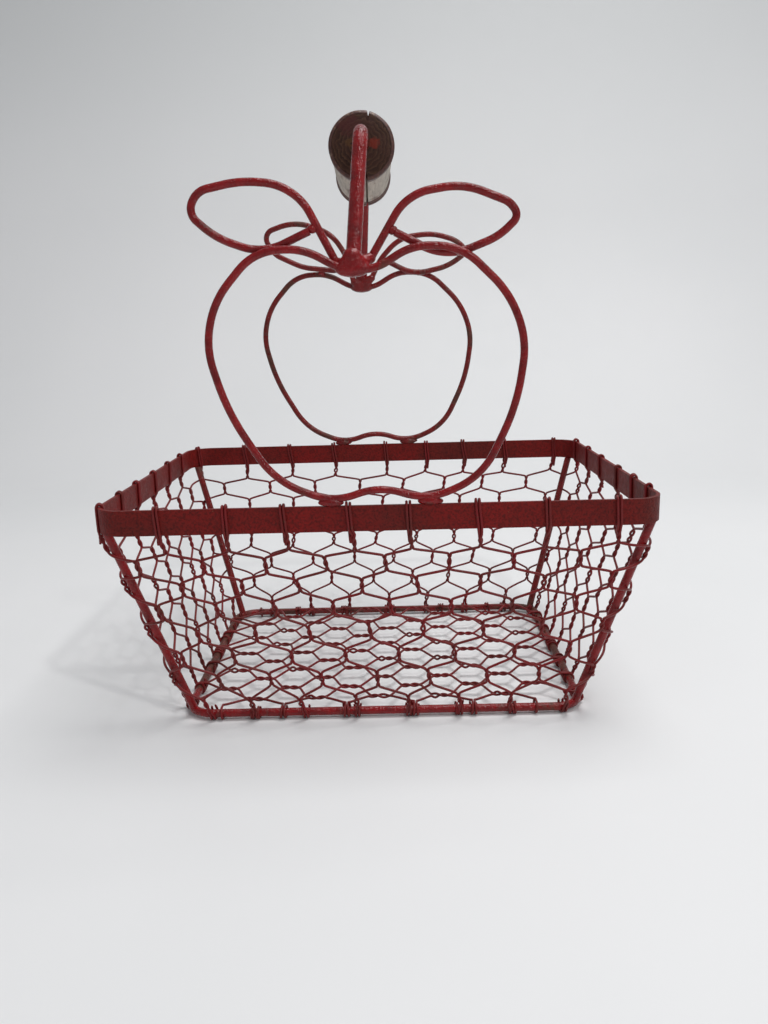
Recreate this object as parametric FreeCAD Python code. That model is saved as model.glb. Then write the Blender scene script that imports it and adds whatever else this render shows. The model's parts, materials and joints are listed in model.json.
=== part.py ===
import FreeCAD, Part

import math
import os

# Wire egg basket with apple-shaped end loops and a wood-gripped carrying handle.
# Millimetres. +X along the basket, +Y from the front to the back, +Z up.
# Origin: on the supporting surface, under the middle of the base ring.

V = FreeCAD.Vector
UP = V(0, 0, 1)

# ---- Driving dimensions -------------------------------------------------------------------
RIM_LENGTH, RIM_WIDTH, RIM_CORNER = 254.0, 190.0, 14.0      # outside of the rim band
RIM_TOP, BAND_HEIGHT, BAND_THICKNESS = 111.2, 11.5, 1.7
BASE_LENGTH, BASE_WIDTH, BASE_CORNER = 195.0, 146.0, 13.0   # centreline of the base ring
HEAVY_ROD = 2.0            # radius of the base ring and the corner posts
SCROLL_ROD = 1.65          # radius of the apple and leaf wire
HANDLE_ROD = 3.15          # radius of the carrying handle
NET_WIRE = 0.55            # radius of the netting wire
CLEARANCE = 0.1            # between a netting wire and the rod or band that it wraps

POST_ANGLE = 40.0          # where a post stands on the corner arcs, degrees from the X axis
POST_TOP_INSET = 2.3       # from the band's outside to the post's axis

# Netting: the wires leave the rim in pairs, and each wire swaps partners at every row of twists.
# Places of the pairs along each side of the rim, from its middle, going round anticlockwise.
RIM_TIES = (
    (-97, -67, -41, -12, 14, 45, 75, 106),
    (-70, -46, -17, 18, 50, 82),
    (-114, -82, -55, -30, -3, 31, 60, 90, 122),
    (-61, -31, -2, 29, 56, 86),
)
NET_SIDES = ("front_netting", "right_netting", "back_netting", "left_netting")
# Pair number and place round the base ring, from the middle of the front, evenly spaced between.
BASE_TIE_MARKS = ((0, -63.4), (6, 87.8), (14, 251.8), (20, 405.4), (21, 431.0), (29, 596.3))
WALL_ROWS = 8
FIRST_ROW_Z, ROW_DROP, ROW_DROP_GROWTH = 94.7, 10.2, 0.28
WALL_TWIST = 5.6           # length of a twist in the walls
PAIR_SPREAD = 0.6          # from the middle of a pair to each wire
RIM_LEG_SPREAD = 1.1       # the same where the pair goes over the band
BASE_LEG_SPREAD = 0.8      # the same where the pair goes round the base ring
CORNER_BULGE = 0.8         # of the netting round the outside of a post

FLOOR_ROWS = 12
FLOOR_FIRST_Y, FLOOR_ROW_STEP = -63.4, 11.8
FLOOR_PITCH, FLOOR_TWIST = 31.3, 9.0
FLOOR_SHIFT, FLOOR_SKEW, FLOOR_SKEW_Y = 2.5, 0.05, 31.0
FLOOR_TIE_GAP = 3.4        # least distance between a floor tie and a wall tie
FLOOR_TIE_LIMIT = 84.0     # floor ties along the front and back stay on the straight

# Apples: half outline from the middle of the bottom to the dip, before leaning.
APPLE_HALF = ((0, 5), (20.5, -2), (45, 8), (61.5, 38.5), (67, 65.5), (61, 84.5),
              (42.5, 103.5), (22.5, 104.5), (8.5, 96.5), (0, 95))
APPLE_TILT = 0.021         # outward run per unit of height
# side: y direction, x of the bottom, z of the bottom, lean to -X in degrees, height factor
APPLES = {"front": (-1, 1.5, 114.7, 3.6, 1.0), "back": (1, -3.6, 114.5, 3.2, 1.015)}
APPLE_FOOT_Y = 94.2
LOBE_X = 21.5              # of a bottom lobe, from the apple's middle

LEAF_INSET = 3.4           # leaves lie this far inside their apple's plane
LEAVES = {
    "front_left_leaf": ((-14, 213.5), (-26.5, 238), (-36.5, 244.5), (-51.5, 246), (-69.5, 242.5),
                        (-73.5, 234), (-63, 224.5), (-44, 217.5), (-24.5, 226)),
    "front_right_leaf": ((0.5, 215), (13, 235), (21, 240), (38.5, 242.5), (57.5, 235),
                         (61, 229.5), (53, 222), (31.5, 214), (10.5, 224.7)),
    "back_left_leaf": ((-15, 214.5), (-18.5, 230), (-28, 244.5), (-50.5, 252.5), (-71.5, 245.5),
                       (-64.5, 233), (-56.5, 229), (-46.5, 224.5), (-26, 222), (-20.8, 224.2)),
    "back_right_leaf": ((-3.5, 217), (1.5, 227.5), (14.5, 241), (35.5, 243), (50, 238.5),
                        (57, 231.5), (45, 223), (23, 218.5), (6.2, 227.1)),
}

# Handle: foot, shoulder, shoulder, foot of its centreline.
HANDLE_ROUTE = (V(-7.0, -97, 211.0), V(-2.6, -81, 266.7), V(-6.4, 81, 267.7), V(-10, 97, 212.4))
HANDLE_BEND = 9.5

GRIP_RADIUS, GRIP_LENGTH, GRIP_SHIFT = 15.0, 85.0, -5.7
GRIP_WAIST, GRIP_BEAD = 14.2, 14.7
GRIP_END, GRIP_GROOVE, GRIP_BEAD_WIDTH = 4.0, 1.2, 2.0
GRIP_EDGE = 1.0
GRIP_BORE = HANDLE_ROD + 0.1
GRIP_SEAM = 2.6            # of the glued joint, from the rod's axis
SEAM_ROLL = 3.5            # lean of the glued joint, degrees
NOTCH_WIDTH, NOTCH_DEPTH = 1.2, 2.2

WELD_BEAD = 2.3
STEM_WELD_RADIUS, STEM_WELD_LENGTH = 4.9, 8.0
CONTACT = 5.0              # a leaf nearer than this to its apple is welded to it

BAND_BOTTOM = RIM_TOP - BAND_HEIGHT
WRAP = HEAVY_ROD + NET_WIRE + CLEARANCE      # from the ring's centreline to a tie's
RING_Z = WRAP + NET_WIRE                     # the ties under the ring touch the surface
WALL_WRAP = 3.0                              # from the ring's centreline to the foot of a wall
FACE_GAP = NET_WIRE + CLEARANCE
ARC_SHARE = 0.48           # of the shorter run, that an arc at its end may take
TINY = 1e-6


# ---- Rods and wires -----------------------------------------------------------------------
def rounded_route(points, radii=None, closed=False):
    """Straight runs joined by tangent arcs. Without radii each arc is as large as its runs allow."""
    count = len(points)
    corners = range(count) if closed else range(1, count - 1)
    joins = {}
    for i in corners:
        here = points[i]
        back, ahead = points[i - 1] - here, points[(i + 1) % count] - here
        shorter = min(back.Length, ahead.Length)
        half_angle = back.getAngle(ahead) / 2
        if half_angle > math.pi / 2 - 1e-3:
            continue
        reach = shorter * ARC_SHARE
        if radii:
            reach = min(reach, radii[i] / math.tan(half_angle))
        back.normalize()
        ahead.normalize()
        middle = (back + ahead).normalize()
        radius = reach * math.tan(half_angle)
        nearest = radius / math.sin(half_angle) - radius
        joins[i] = (here + back * reach, here + middle * nearest, here + ahead * reach)
    edges = []
    last = joins[count - 1][2] if closed else points[0]
    for i in range(0 if closed else 1, count):
        start, middle, end = joins.get(i, (points[i], None, points[i]))
        if (start - last).Length > TINY:
            edges.append(Part.makeLine(last, start))
        if middle:
            edges.append(Part.Arc(start, middle, end).toShape())
        last = end
    return Part.Wire(edges)


def rod(route, radius):
    """A round bar along a route."""
    first = route.OrderedEdges[0]
    start = first.valueAt(first.FirstParameter)
    along = first.tangentAt(first.FirstParameter)
    if first.Orientation == "Reversed":
        start = first.valueAt(first.LastParameter)
        along = first.tangentAt(first.LastParameter) * -1
    section = Part.Wire([Part.makeCircle(radius, start, along)])
    shape = route.makePipeShell([section], True, False)
    solid = shape.Solids[0] if shape.Solids else Part.Solid(shape.Shells[0])
    if solid.Volume < 0:
        solid.reverse()
    return solid


def straight_rod(start, end, radius):
    axis = end - start
    return Part.makeCylinder(radius, axis.Length, start, axis)


# ---- Rounded rectangles, walked by length from the middle of the front ---------------------
def loop_length(length, width, corner):
    return 2 * (length + width) - 8 * corner + 2 * math.pi * corner


def on_loop(length, width, corner, walked):
    """Point and outward normal after walking anticlockwise."""
    runs = (length - 2 * corner, width - 2 * corner)
    quarter = math.pi / 2 * corner
    left = (walked + runs[0] / 2) % loop_length(length, width, corner)
    for side in range(4):
        run, other = runs[side % 2], (width, length)[side % 2]
        turn = FreeCAD.Rotation(UP, 90 * side)
        if left <= run:
            return turn.multVec(V(left - run / 2, -other / 2, 0)), turn.multVec(V(0, -1, 0))
        left -= run
        if left <= quarter:
            normal = V(math.sin(left / corner), -math.cos(left / corner), 0)
            return turn.multVec(V(run / 2, corner - other / 2, 0) + normal * corner), turn.multVec(normal)
        left -= quarter
    return on_loop(length, width, corner, 0)


def walked_to(length, width, corner, side, along):
    """How far the walk is to a place on a side, measured from that side's middle."""
    runs = (length - 2 * corner, width - 2 * corner)
    quarter = math.pi / 2 * corner
    before = -runs[0] / 2 + sum(runs[s % 2] + quarter for s in range(side))
    return before + runs[side % 2] / 2 + along


RIM = (RIM_LENGTH, RIM_WIDTH, RIM_CORNER)
RING = (BASE_LENGTH, BASE_WIDTH, BASE_CORNER)


def loop_face(length, width, corner, z):
    """The area inside a rounded rectangle at height z."""
    x, y = length / 2, width / 2
    corners = [V(-x, -y, z), V(x, -y, z), V(x, y, z), V(-x, y, z)]
    return Part.Face(rounded_route(corners, [corner] * 4, closed=True))


# ---- Frame --------------------------------------------------------------------------------
def rim_band():
    outside = loop_face(*RIM, BAND_BOTTOM)
    inside = loop_face(*(size - shrink * BAND_THICKNESS for size, shrink in zip(RIM, (2, 2, 1))), BAND_BOTTOM)
    return outside.cut(inside).extrude(UP * BAND_HEIGHT).Solids[0]


def base_ring():
    x, y = BASE_LENGTH / 2, BASE_WIDTH / 2
    corners = [V(-x, -y, RING_Z), V(x, -y, RING_Z), V(x, y, RING_Z), V(-x, y, RING_Z)]
    return rod(rounded_route(corners, [BASE_CORNER] * 4, closed=True), HEAVY_ROD)


def corner_place(size, inset, z, x_side, y_side):
    """A place on a corner arc of a rounded rectangle, inset from it, in the corner's direction."""
    length, width, corner = size
    angle = math.radians(POST_ANGLE)
    x = length / 2 - corner + (corner - inset) * math.cos(angle)
    y = width / 2 - corner + (corner - inset) * math.sin(angle)
    return V(x_side * x, y_side * y, z)


def corner_post(ring, x_side, y_side):
    """A rod from the top of the base ring to the underside of the rim band."""
    foot = corner_place(RING, 0, RING_Z, x_side, y_side)
    head = corner_place(RIM, POST_TOP_INSET, BAND_BOTTOM, x_side, y_side)
    beyond = head + (head - foot) * (HEAVY_ROD * 2 / (head - foot).Length)
    post = straight_rod(foot, beyond, HEAVY_ROD).cut(ring)
    above = Part.makeBox(RIM_LENGTH, RIM_WIDTH, BAND_HEIGHT * 2, V(-RIM_LENGTH / 2, -RIM_WIDTH / 2, BAND_BOTTOM))
    pieces = post.cut(above).Solids
    return max(pieces, key=lambda piece: piece.Volume)


# ---- Netting walls ------------------------------------------------------------------------
def spread_marks(marks):
    """Evenly spaced values between (number, value) marks."""
    values = []
    for (first, low), (last, high) in zip(marks, marks[1:]):
        values += [low + (high - low) * (i - first) / (last - first) for i in range(first, last)]
    return values


RIM_PLACES = [walked_to(*RIM, side, along) for side, row in enumerate(RIM_TIES) for along in row]
BASE_PLACES = spread_marks(BASE_TIE_MARKS)
PAIRS = len(RIM_PLACES)


def place_between(places, full_turn, number):
    """The place of a whole or part pair number, which may run past either end of the list."""
    low = math.floor(number)

    def place(i):
        return places[i % PAIRS] + full_turn * (i // PAIRS)

    return place(low) + (place(low + 1) - place(low)) * (number - low)


def rim_place(pair):
    return place_between(RIM_PLACES, loop_length(*RIM), pair)


def base_place(pair):
    """Base ties lie half a pair on from the rim's."""
    return place_between(BASE_PLACES, loop_length(*RING), pair - 0.5)


def wall_point(pair, z, shift, bulge=0):
    """A point of the netting wall: outside the posts, between the rim and the base ring."""
    share = (BAND_BOTTOM - z) / (BAND_BOTTOM - RING_Z)

    def between(top, foot):
        return top + (foot - top) * share

    size = [between(top, foot) for top, foot in zip(RIM, RING)]
    point, normal = on_loop(*size, between(rim_place(pair), base_place(pair)) + shift)
    point += normal * (between(FACE_GAP, WALL_WRAP) + bulge)
    return V(point.x, point.y, z)


def turn_between(pair, next_pair):
    """Degrees that the wall turns between two pairs."""
    turns = []
    for size, place in ((RIM, rim_place), (RING, base_place)):
        normals = [on_loop(*size, place(p))[1] for p in (pair, next_pair)]
        turns.append(math.degrees(normals[0].getAngle(normals[1])))
    return max(turns)


def rim_wrap(place):
    """Inner leg, over the band, outer leg."""
    edge, normal = on_loop(*RIM, place)
    inner = edge - normal * (BAND_THICKNESS + FACE_GAP)
    outer = edge + normal * FACE_GAP
    over = RIM_TOP + FACE_GAP
    return [V(inner.x, inner.y, BAND_BOTTOM), V(inner.x, inner.y, over), V(outer.x, outer.y, over),
            V(outer.x, outer.y, BAND_BOTTOM)]


def base_wrap(place):
    """Down the outside of the base ring, under it and up its inside."""
    centre, normal = on_loop(*RING, place)
    outer, inner = centre + normal * WRAP, centre - normal * WRAP
    under = RING_Z - WRAP
    return [V(outer.x, outer.y, under), V(inner.x, inner.y, under), V(inner.x, inner.y, RING_Z + CLEARANCE)]


def row_z(row):
    return FIRST_ROW_Z - ROW_DROP * row - ROW_DROP_GROWTH * row * row


def wall_wire(pair, side):
    """One netting wire from its rim wrap to its base wrap, swapping partners at each row."""
    bend, rim_bend, sweep_bend = 1.6, 0.8, 6.0
    points = rim_wrap(rim_place(pair) + side * RIM_LEG_SPREAD)
    radii = [rim_bend] * len(points)
    last_pair, last_z = pair, None
    for row in range(WALL_ROWS):
        swapped = row % 2
        here = pair + side * 0.5 * swapped
        shift = side * PAIR_SPREAD * (1 - 2 * swapped)
        top, foot = row_z(row) + WALL_TWIST / 2, row_z(row) - WALL_TWIST / 2
        if last_z is not None and turn_between(last_pair, here) > 20:
            for part in (0.25, 0.5, 0.75):
                z = last_z + (top - last_z) * part
                points.append(wall_point(last_pair + (here - last_pair) * part, z, 0, CORNER_BULGE))
                radii.append(sweep_bend)
        points += [wall_point(here, top, shift), wall_point(here, foot, shift)]
        radii += [bend, bend]
        last_pair, last_z = here, foot
    points += base_wrap(base_place(last_pair) - side * BASE_LEG_SPREAD)
    radii += [WRAP, WRAP, WRAP]
    return rod(rounded_route(points, radii), NET_WIRE)


def wall_netting(side):
    first = sum(len(row) for row in RIM_TIES[:side])
    pairs = range(first, first + len(RIM_TIES[side]))
    return Part.Compound([wall_wire(pair, hand) for pair in pairs for hand in (-1, 1)])


# ---- Netting floor ------------------------------------------------------------------------
def floor_x(column, y):
    """Middle of a twist: whole columns in even rows, half columns in odd rows."""
    return FLOOR_SHIFT + FLOOR_PITCH * column - FLOOR_SKEW * (FLOOR_SKEW_Y - y)


def floor_row_y(row):
    return FLOOR_FIRST_Y + FLOOR_ROW_STEP * row


def clear_place(place):
    """A place on the ring moved clear of the wall's ties."""
    full = loop_length(*RING)
    for tie in BASE_PLACES:
        gap = (place - tie + full / 2) % full - full / 2
        if abs(gap) < FLOOR_TIE_GAP:
            return place + math.copysign(FLOOR_TIE_GAP, gap) - gap
    return place


def floor_tie(place):
    """From inside, over the ring, down its outside and under it."""
    centre, normal = on_loop(*RING, place)
    over, under = RING_Z + WRAP, RING_Z - WRAP
    inside, outside = centre - normal * HEAVY_ROD * 2, centre + normal * WRAP
    end = centre - normal * HEAVY_ROD
    return [V(inside.x, inside.y, over), V(outside.x, outside.y, over),
            V(outside.x, outside.y, under), V(end.x, end.y, under)]


def floor_twist(column, y, shift):
    x = floor_x(column, y)
    z = RING_Z + WRAP
    return [V(x - FLOOR_TWIST / 2, y + shift, z), V(x + FLOOR_TWIST / 2, y + shift, z)]


def tied_wire(start_place, middle, end_place):
    """A floor wire with both ends tied round the ring."""
    start, end = floor_tie(start_place)[::-1], floor_tie(end_place)
    bend = 2.0
    radii = [WRAP] * len(start) + [bend] * len(middle) + [WRAP] * len(end)
    return rod(rounded_route(start + middle + end, radii), NET_WIRE)


def long_floor_wire(row):
    """A wire that zigzags from left to right between a row of twists and the next row."""
    even_first = row % 2 == 0
    even_y, odd_y = (floor_row_y(row + (0 if even_first else 1)), floor_row_y(row + (1 if even_first else 0)))
    away = PAIR_SPREAD if even_first else -PAIR_SPREAD
    middle = []
    for half_step in range(-5, 6):
        odd = half_step % 2
        middle += floor_twist(half_step / 2, odd_y if odd else even_y, -away if odd else away)
    left = clear_place(walked_to(*RING, 3, -even_y)) - away
    right = clear_place(walked_to(*RING, 1, even_y)) + away
    return tied_wire(left, middle, right)


def short_floor_wire(column, row, ring_side):
    """A cut wire at the front or back: ring, one twist, ring."""
    y = floor_row_y(row)
    towards = 1 if ring_side == 2 else -1
    places = []
    for hand in (-1, 1):
        x = floor_x(column + hand / 2, towards * BASE_WIDTH / 2)
        x = max(-FLOOR_TIE_LIMIT, min(FLOOR_TIE_LIMIT, x))
        along = x if ring_side == 0 else -x
        places.append(clear_place(walked_to(*RING, ring_side, along)) + hand * towards * PAIR_SPREAD)
    middle = floor_twist(column, y, towards * PAIR_SPREAD)
    return tied_wire(places[0], middle, places[1])


def floor_netting():
    wires = [long_floor_wire(row) for row in range(FLOOR_ROWS - 1)]
    wires += [short_floor_wire(column, 0, 0) for column in range(-2, 3)]
    wires += [short_floor_wire(step / 2, FLOOR_ROWS - 1, 2) for step in range(-5, 6, 2)]
    return Part.Compound(wires)


# ---- Apples and leaves --------------------------------------------------------------------
def apple_point(end, x, z):
    """A point of an apple's outline after its sideways lean and its outward tilt."""
    y_side, foot_x, foot_z, lean, height = APPLES[end]
    rise = z * height
    place_x = foot_x + x - rise * math.tan(math.radians(lean))
    return V(place_x, y_side * (APPLE_FOOT_Y + APPLE_TILT * rise), foot_z + rise)


def apple_route(end):
    left = [(-x, z) for x, z in APPLE_HALF[1:-1]][::-1]
    return rounded_route([apple_point(end, x, z) for x, z in list(APPLE_HALF) + left], closed=True)


def leaf_end(name):
    return name.split("_")[0]


def leaf_route(name):
    y_side = APPLES[leaf_end(name)][0]
    foot_z = APPLES[leaf_end(name)][2]
    return rounded_route([V(x, y_side * (APPLE_FOOT_Y + APPLE_TILT * (z - foot_z) - LEAF_INSET), z)
                          for x, z in LEAVES[name]])


def handle_rod(apples):
    radii = [0, HANDLE_BEND, HANDLE_BEND, 0]
    whole = rod(rounded_route(list(HANDLE_ROUTE), radii), HANDLE_ROD)
    pieces = whole.cut(apples["front"]).cut(apples["back"]).Solids
    return max(pieces, key=lambda piece: piece.Volume)


# ---- Welds --------------------------------------------------------------------------------
def trimmed(bead, neighbours):
    for other in neighbours:
        bead = bead.cut(other)
    return max(bead.Solids, key=lambda piece: piece.Volume)


def rim_welds(end, apple):
    """Beads that stand on the band's top edge and hold the two bottom lobes."""
    beads = []
    for hand in (-1, 1):
        lobe = apple_point(end, hand * LOBE_X, 0)
        bead = Part.makeCylinder(WELD_BEAD, lobe.z - RIM_TOP, V(lobe.x, lobe.y, RIM_TOP), UP)
        beads.append(trimmed(bead, [apple]))
    return Part.Compound(beads)


def stem_weld(end, neighbours):
    """The bead where the handle's foot, the apple's dip and the leaf stems meet."""
    dip = apple_point(end, APPLE_HALF[-1][0], APPLE_HALF[-1][1])
    foot_x = (HANDLE_ROUTE[0] if end == "front" else HANDLE_ROUTE[-1]).x
    half = V(STEM_WELD_LENGTH / 2, 0, 0)
    centre = V(foot_x, dip.y, dip.z + WELD_BEAD / 2)
    bead = Part.makeCylinder(STEM_WELD_RADIUS, STEM_WELD_LENGTH, centre - half, V(1, 0, 0))
    for tip in (centre - half, centre + half):
        bead = bead.fuse(Part.makeSphere(STEM_WELD_RADIUS, tip))
    return trimmed(bead, neighbours)


def leaf_welds(leaves, apples):
    """Beads where a leaf's end meets its own stem, and where a leaf touches its apple."""
    beads = []
    for name, (leaf, route) in leaves.items():
        end = route.OrderedVertexes[-1].Point
        stem = route.OrderedEdges[0]
        near = stem.distToShape(Part.Vertex(end))[1][0][0]
        beads.append(trimmed(Part.makeSphere(WELD_BEAD, (near + end) * 0.5), [leaf]))
        apple, apple_line = apples[leaf_end(name)]
        lower_run = Part.Wire(route.OrderedEdges[len(route.OrderedEdges) // 2:])
        gap, pairs, _ = lower_run.distToShape(apple_line)
        if gap < CONTACT:
            middle = (pairs[0][0] + pairs[0][1]) * 0.5
            beads.append(trimmed(Part.makeSphere(WELD_BEAD, middle), [leaf, apple]))
    return Part.Compound(beads)


# ---- Wooden grip --------------------------------------------------------------------------
def grip_turning():
    """The whole turned grip about the Y axis, before it is sawn and bored."""
    end = GRIP_LENGTH / 2
    half = [(GRIP_RADIUS - GRIP_EDGE, end), (GRIP_RADIUS, end - GRIP_EDGE), (GRIP_RADIUS, end - GRIP_END),
            (GRIP_WAIST, end - GRIP_END - GRIP_GROOVE / 2), (GRIP_BEAD, end - GRIP_END - GRIP_GROOVE),
            (GRIP_BEAD, end - GRIP_END - GRIP_GROOVE - GRIP_BEAD_WIDTH),
            (GRIP_WAIST, end - GRIP_END - GRIP_GROOVE * 1.5 - GRIP_BEAD_WIDTH)]
    outline = [V(0, end, 0)] + [V(r, y, 0) for r, y in half]
    outline += [V(r, -y, 0) for r, y in reversed(half)] + [V(0, -end, 0)]
    return Part.Face(Part.makePolygon(outline + [outline[0]])).revolve(V(0, 0, 0), V(0, 1, 0), 360)


def seam_notch(z_side):
    """A V groove along the glued joint, at the top or the bottom."""
    edge = z_side * math.sqrt(GRIP_RADIUS**2 - GRIP_SEAM**2)
    y = -GRIP_LENGTH / 2
    corners = [V(GRIP_SEAM - NOTCH_WIDTH / 2, y, edge + z_side), V(GRIP_SEAM + NOTCH_WIDTH / 2, y, edge + z_side),
               V(GRIP_SEAM, y, edge - z_side * NOTCH_DEPTH)]
    return Part.Face(Part.makePolygon(corners + [corners[0]])).extrude(V(0, GRIP_LENGTH, 0))


def grip_pieces():
    """The two glued pieces in place round the handle."""
    bore = Part.makeCylinder(GRIP_BORE, GRIP_LENGTH, V(0, -GRIP_LENGTH / 2, 0), V(0, 1, 0))
    whole = grip_turning().cut(bore).cut(seam_notch(1)).cut(seam_notch(-1))
    side = GRIP_LENGTH * 2
    right_of_seam = Part.makeBox(side, side, side, V(GRIP_SEAM, -side / 2, -side / 2))
    middle = (HANDLE_ROUTE[1] + HANDLE_ROUTE[2]) * 0.5
    axis = (HANDLE_ROUTE[2] - HANDLE_ROUTE[1]).normalize()
    turn = FreeCAD.Rotation(V(0, 1, 0), axis).multiply(FreeCAD.Rotation(V(0, 1, 0), SEAM_ROLL))
    place = FreeCAD.Placement(middle + axis * GRIP_SHIFT, turn)
    pieces = {"grip_left_piece": whole.cut(right_of_seam), "grip_right_piece": whole.common(right_of_seam)}
    return {name: shape.Solids[0].transformGeometry(place.toMatrix()) for name, shape in pieces.items()}


# ---- Assembly -----------------------------------------------------------------------------
def build():
    nodes = {"rim_band": rim_band(), "base_ring": base_ring()}
    for y_name, y_side in (("front", -1), ("back", 1)):
        for x_name, x_side in (("left", -1), ("right", 1)):
            nodes[f"{y_name}_{x_name}_post"] = corner_post(nodes["base_ring"], x_side, y_side)
    for side, name in enumerate(NET_SIDES):
        nodes[name] = wall_netting(side)
    nodes["floor_netting"] = floor_netting()

    apple_lines = {end: apple_route(end) for end in APPLES}
    apples = {end: rod(line, SCROLL_ROD) for end, line in apple_lines.items()}
    leaf_lines = {name: leaf_route(name) for name in LEAVES}
    leaves = {name: rod(line, SCROLL_ROD) for name, line in leaf_lines.items()}
    nodes["handle_rod"] = handle_rod(apples)
    for end, apple in apples.items():
        nodes[f"{end}_apple"] = apple
        nodes[f"{end}_rim_welds"] = rim_welds(end, apple)
        near = [leaves[name] for name in LEAVES if leaf_end(name) == end]
        nodes[f"{end}_stem_weld"] = stem_weld(end, [apple, nodes["handle_rod"]] + near)
    nodes.update(leaves)
    nodes["leaf_welds"] = leaf_welds({name: (leaves[name], leaf_lines[name]) for name in LEAVES},
                                     {end: (apples[end], apple_lines[end]) for end in APPLES})
    nodes.update(grip_pieces())
    return nodes


os.makedirs("parts", exist_ok=True)
for node, shape in build().items():
    shape.exportStep(f"parts/{node}.step")
    print(node, len(shape.Solids), "solids", round(shape.Volume, 2), "mm3", "valid" if shape.isValid() else "INVALID")
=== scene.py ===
import json
import math
import random

import bmesh
import bpy
from mathutils import Matrix, Vector, noise


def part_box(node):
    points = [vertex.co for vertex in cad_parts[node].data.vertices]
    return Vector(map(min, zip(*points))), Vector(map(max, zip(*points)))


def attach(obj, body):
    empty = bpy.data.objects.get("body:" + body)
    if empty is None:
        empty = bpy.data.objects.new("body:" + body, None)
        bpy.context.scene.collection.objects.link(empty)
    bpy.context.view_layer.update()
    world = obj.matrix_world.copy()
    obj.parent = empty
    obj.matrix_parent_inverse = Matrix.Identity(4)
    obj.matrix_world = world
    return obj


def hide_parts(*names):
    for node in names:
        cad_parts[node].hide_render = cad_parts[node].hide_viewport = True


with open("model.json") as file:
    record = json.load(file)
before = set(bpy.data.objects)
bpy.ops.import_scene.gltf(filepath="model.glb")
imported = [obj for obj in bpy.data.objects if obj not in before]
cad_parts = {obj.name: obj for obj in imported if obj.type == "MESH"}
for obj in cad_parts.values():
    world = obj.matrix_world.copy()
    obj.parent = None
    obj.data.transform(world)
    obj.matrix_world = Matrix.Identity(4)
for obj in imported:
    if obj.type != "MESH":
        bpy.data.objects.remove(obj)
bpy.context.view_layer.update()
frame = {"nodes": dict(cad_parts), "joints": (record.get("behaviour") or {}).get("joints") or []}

# Metres. The basket's netting, ties, welds and wooden grip are rebuilt here in detail round the
# rods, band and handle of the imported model, which keep their shapes and get their paint.

UP = Vector((0, 0, 1))
AXIS = Vector(frame["joints"][0]["axis"]).normalized()

# ---- Sizes --------------------------------------------------------------------------------
BAND_LOW, BAND_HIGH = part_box("rim_band")
RIM_CORNER, BAND_THICKNESS = 0.014, 0.0017
RIM = (BAND_HIGH.x - BAND_LOW.x, BAND_HIGH.y - BAND_LOW.y, RIM_CORNER)
BAND_BOTTOM, RIM_TOP = BAND_LOW.z, BAND_HIGH.z
RING_LOW, RING_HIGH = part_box("base_ring")
RING_ROD = (RING_HIGH.z - RING_LOW.z) / 2
RING_Z = (RING_HIGH.z + RING_LOW.z) / 2
RING = (RING_HIGH.x - RING_LOW.x - 2 * RING_ROD, RING_HIGH.y - RING_LOW.y - 2 * RING_ROD, 0.013)

WIRE, DIPPED_COAT = 0.00055, 0.00006
TOUCH = WIRE + 0.00003
WALL_WRAP = 0.003
FLOOR_Z = RING_Z + RING_ROD + WIRE + 0.0001

# Places of the netting's pairs of wires along each side of the rim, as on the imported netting.
RIM_TIES = (
    (-0.097, -0.067, -0.041, -0.012, 0.014, 0.045, 0.075, 0.106),
    (-0.070, -0.046, -0.017, 0.018, 0.050, 0.082),
    (-0.114, -0.082, -0.055, -0.030, -0.003, 0.031, 0.060, 0.090, 0.122),
    (-0.061, -0.031, -0.002, 0.029, 0.056, 0.086),
)
NET_SIDES = ("front_netting", "right_netting", "back_netting", "left_netting")
BASE_TIE_MARKS = ((0, -0.0634), (6, 0.0878), (14, 0.2518), (20, 0.4054), (21, 0.4310), (29, 0.5963))
WALL_ROWS, FIRST_ROW_Z, ROW_DROP, ROW_DROP_GROWTH = 8, 0.0947, 0.0102, 0.00028
WALL_TWIST, TWIST_STEPS = 0.0072, 14
WALL_TWIST_SHARES, WALL_TWIST_LEAN = (0.85, 1.2), 0.12
WALL_LIFT_WANDER, WALL_SIDE_WANDER = 0.0007, 0.0009
RIM_LEG_SPREAD, BASE_LEG_SPREAD = 0.00075, 0.0007
TIE_SLANT, SLANT_WANDER = (-0.0006, 0.0012, 0.0012, -0.0012), 0.0007
TIE_LOFT, TIE_TAIL = (0.0003, 0.0010), (0.004, 0.0065)

FLOOR_ROWS, FLOOR_FIRST_Y, FLOOR_ROW_STEP = 12, -0.0634, 0.0118
FLOOR_PITCH, FLOOR_TWIST = 0.0313, 0.0095
FLOOR_TWIST_SHARES, FLOOR_TWIST_LEAN = (0.9, 1.1), (-0.10, 0.06)
FLOOR_Y_WANDER, FLOOR_X_WANDER = 0.0006, 0.0008
FLOOR_SHIFT, FLOOR_SKEW, FLOOR_SKEW_Y = 0.0025, 0.05, 0.031
FLOOR_TIE_GAP, FLOOR_TIE_LIMIT = 0.0034, 0.084

# Ties: turns round the ring, advance along it in a turn, and the length of the cut ends.
WALL_TIE_TURNS, WALL_TIE_PITCH, WALL_STUB = (0.55, 0.6, 1.5), 0.0010, (0.0014, 0.0028)
FLOOR_TIE_TURNS, FLOOR_TIE_PITCH, FLOOR_STUB = (0.72, 0.78, 0.85), 0.0012, (0.0012, 0.0024)
WALL_EYELETS, FLOOR_EYELETS = (0.0, 0.0, 0.0, 0.0, 0.0003), (0.0, 0.0, 0.0, 0.0005)
WELD_VOXEL = 0.0004

# Where the leaf stems end on each stem weld, from its middle, in units of its half height.
LEAF_STEM_ENDS = {"front": ((-1.43, 0.65, 0.5), (1.53, 0.65, 0.82)),
                  "back": ((-0.99, -0.65, 0.53), (1.35, -0.65, 1.04))}

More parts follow.
